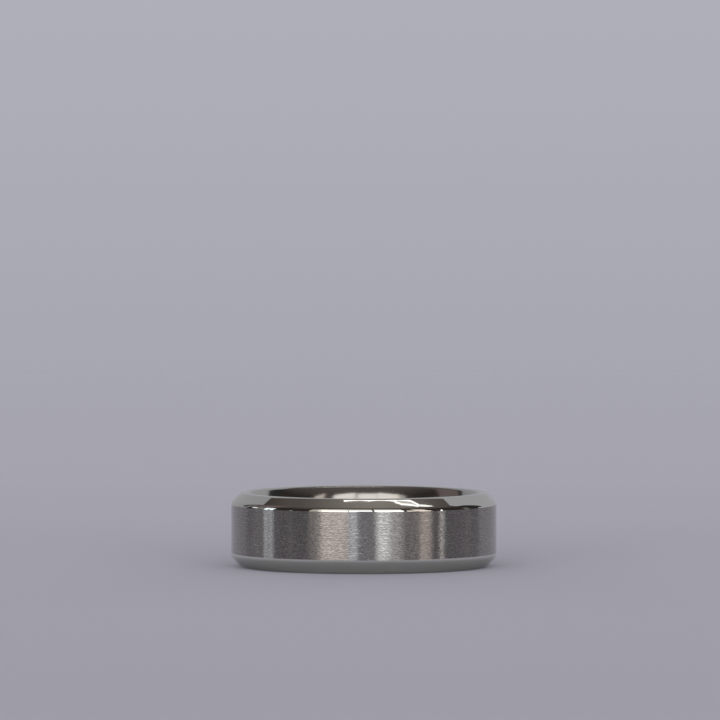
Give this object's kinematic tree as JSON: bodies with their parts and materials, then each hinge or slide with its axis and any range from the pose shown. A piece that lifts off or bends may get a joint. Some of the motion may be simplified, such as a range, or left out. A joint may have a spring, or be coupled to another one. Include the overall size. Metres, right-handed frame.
{
  "type": "wedding band",
  "caption": "Plain white-metal finger ring with a flat satin face, polished bevelled edges and a comfort-fit bore.",
  "frame": {"origin": "on the ring's axis, in the plane of the lower rim that the ring stands on", "axes": "+Z along the ring's axis, from the lower rim to the upper; the ring is the same all round, so +X and +Y point any way at right angles to it"},
  "size_m": [0.0249, 0.0248, 0.007],
  "materials": {
    "white_metal": "satin outer face brushed around the ring; bevels, rims and bore polished"
  },
  "bodies": {
    "root": {"band": "white_metal"}
  },
  "joints": []
}
